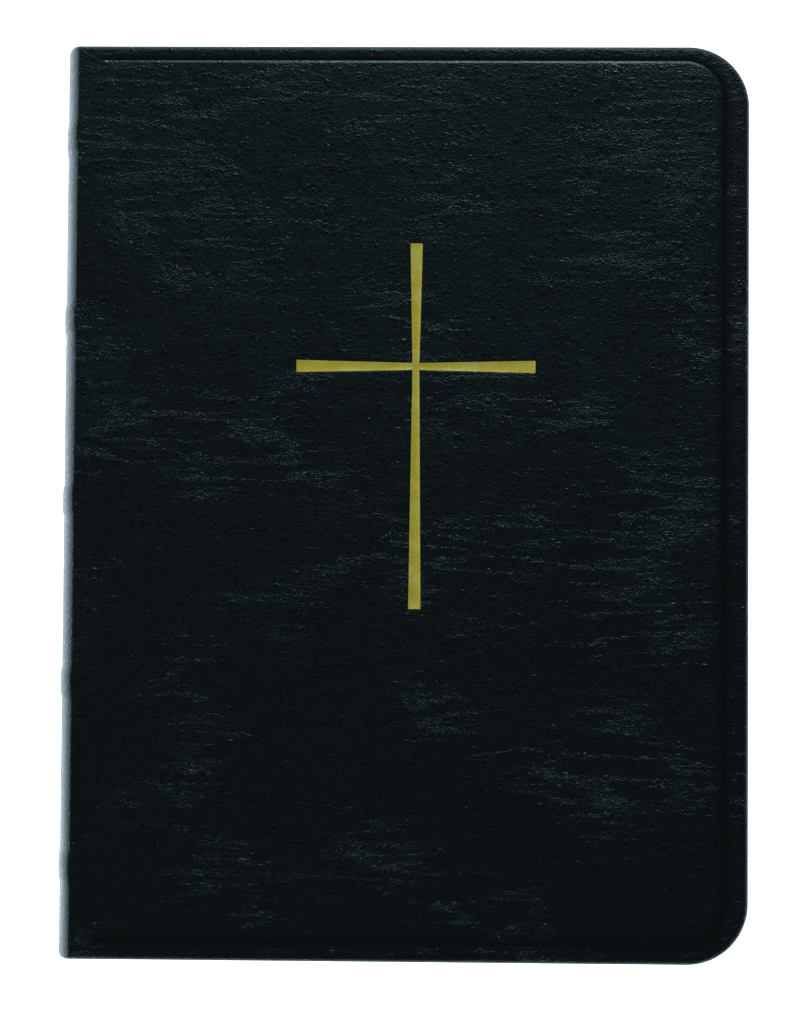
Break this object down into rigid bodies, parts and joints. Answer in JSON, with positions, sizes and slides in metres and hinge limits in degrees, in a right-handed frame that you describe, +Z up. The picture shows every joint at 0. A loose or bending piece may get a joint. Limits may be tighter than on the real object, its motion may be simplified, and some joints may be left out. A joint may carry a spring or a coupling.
{
  "type": "prayer book",
  "caption": "Pocket prayer book in flexible grained leather with a gold cross on the front; opens at both covers and in the middle.",
  "frame": {"origin": "centre of the book's footprint on the surface that it lies on", "axes": "+X from the spine to the fore edge, +Y from the tail to the head of the page, +Z up out of the front cover"},
  "size_m": [0.1172, 0.155, 0.028],
  "materials": {
    "leather": "black, fine pebbled grain, soft gloss, blind crease line near the edges",
    "paper": "thin cream paper with gilt edges",
    "endpaper": "plain black, very fine laid texture",
    "board": "raw flexible card",
    "lining_cloth": "open mull cloth with paste",
    "headband_silk": "striped silk over a core",
    "gold_foil": "stamped gold foil, satin"
  },
  "bodies": {
    "text_block_rear": {"section_06": "paper", "section_07": "paper", "section_08": "paper", "section_09": "paper", "section_10": "paper", "spine_leather_rear": "leather", "spine_lining_rear": "lining_cloth", "band_1_rear": "board", "band_2_rear": "board", "band_3_rear": "board", "band_4_rear": "board", "band_5_rear": "board", "headband_rear": "headband_silk", "tailband_rear": "headband_silk"},
    "text_block_front": {"section_01": "paper", "section_02": "paper", "section_03": "paper", "section_04": "paper", "section_05": "paper", "spine_leather_front": "leather", "spine_lining_front": "lining_cloth", "band_1_front": "board", "band_2_front": "board", "band_3_front": "board", "band_4_front": "board", "band_5_front": "board", "headband_front": "headband_silk", "tailband_front": "headband_silk"},
    "front_cover": {"front_cover_leather": "leather", "front_board": "board", "front_pastedown": "endpaper", "gold_cross": "gold_foil"},
    "back_cover": {"back_cover_leather": "leather", "back_board": "board", "back_pastedown": "endpaper"},
    "front_flyleaf": {"front_flyleaf": "endpaper"},
    "rear_flyleaf": {"rear_flyleaf": "endpaper"},
    "leaf_1": {"leaf_1": "paper"},
    "leaf_2": {"leaf_2": "paper"},
    "leaf_3": {"leaf_3": "paper"},
    "leaf_4": {"leaf_4": "paper"}
  },
  "joints": [
    {"name": "open_middle", "type": "hinge", "parent": "text_block_rear", "child": "text_block_front", "pos_m": [-0.05865, 0, 0.014], "axis": [0, -1, 0], "range_deg": [0, 179.8]},
    {"name": "front_cover_hinge", "type": "hinge", "parent": "text_block_front", "child": "front_cover", "pos_m": [-0.0568, 0, 0.02815], "axis": [0, -1, 0], "range_deg": [0, 179.8]},
    {"name": "back_cover_hinge", "type": "hinge", "parent": "text_block_rear", "child": "back_cover", "pos_m": [-0.0568, 0, -0.00015], "axis": [0, -1, 0], "range_deg": [-179.8, 0]},
    {"name": "front_flyleaf_turn", "type": "hinge", "parent": "text_block_front", "child": "front_flyleaf", "pos_m": [-0.0568, 0, 0.02815], "axis": [0, -1, 0], "range_deg": [0, 180]},
    {"name": "rear_flyleaf_turn", "type": "hinge", "parent": "text_block_rear", "child": "rear_flyleaf", "pos_m": [-0.0568, 0, -0.00015], "axis": [0, -1, 0], "range_deg": [-180, 0]},
    {"name": "leaf_1_turn", "type": "hinge", "parent": "text_block_rear", "child": "leaf_1", "pos_m": [-0.05865, 0, 0.014], "axis": [0, -1, 0], "range_deg": [0, 180]},
    {"name": "leaf_2_turn", "type": "hinge", "parent": "text_block_rear", "child": "leaf_2", "pos_m": [-0.05865, 0, 0.014], "axis": [0, -1, 0], "range_deg": [0, 180]},
    {"name": "leaf_3_turn", "type": "hinge", "parent": "text_block_rear", "child": "leaf_3", "pos_m": [-0.05865, 0, 0.014], "axis": [0, -1, 0], "range_deg": [0, 180]},
    {"name": "leaf_4_turn", "type": "hinge", "parent": "text_block_rear", "child": "leaf_4", "pos_m": [-0.05865, 0, 0.014], "axis": [0, -1, 0], "range_deg": [0, 180]}
  ],
  "couplings": [
    {"joint": "front_flyleaf_turn", "follows": "front_cover_hinge", "ratio": 0.9},
    {"joint": "rear_flyleaf_turn", "follows": "back_cover_hinge", "ratio": 0.9},
    {"joint": "leaf_1_turn", "follows": "open_middle", "ratio": 0.96},
    {"joint": "leaf_2_turn", "follows": "open_middle", "ratio": 0.9},
    {"joint": "leaf_3_turn", "follows": "open_middle", "ratio": 0.1},
    {"joint": "leaf_4_turn", "follows": "open_middle", "ratio": 0.04}
  ]
}
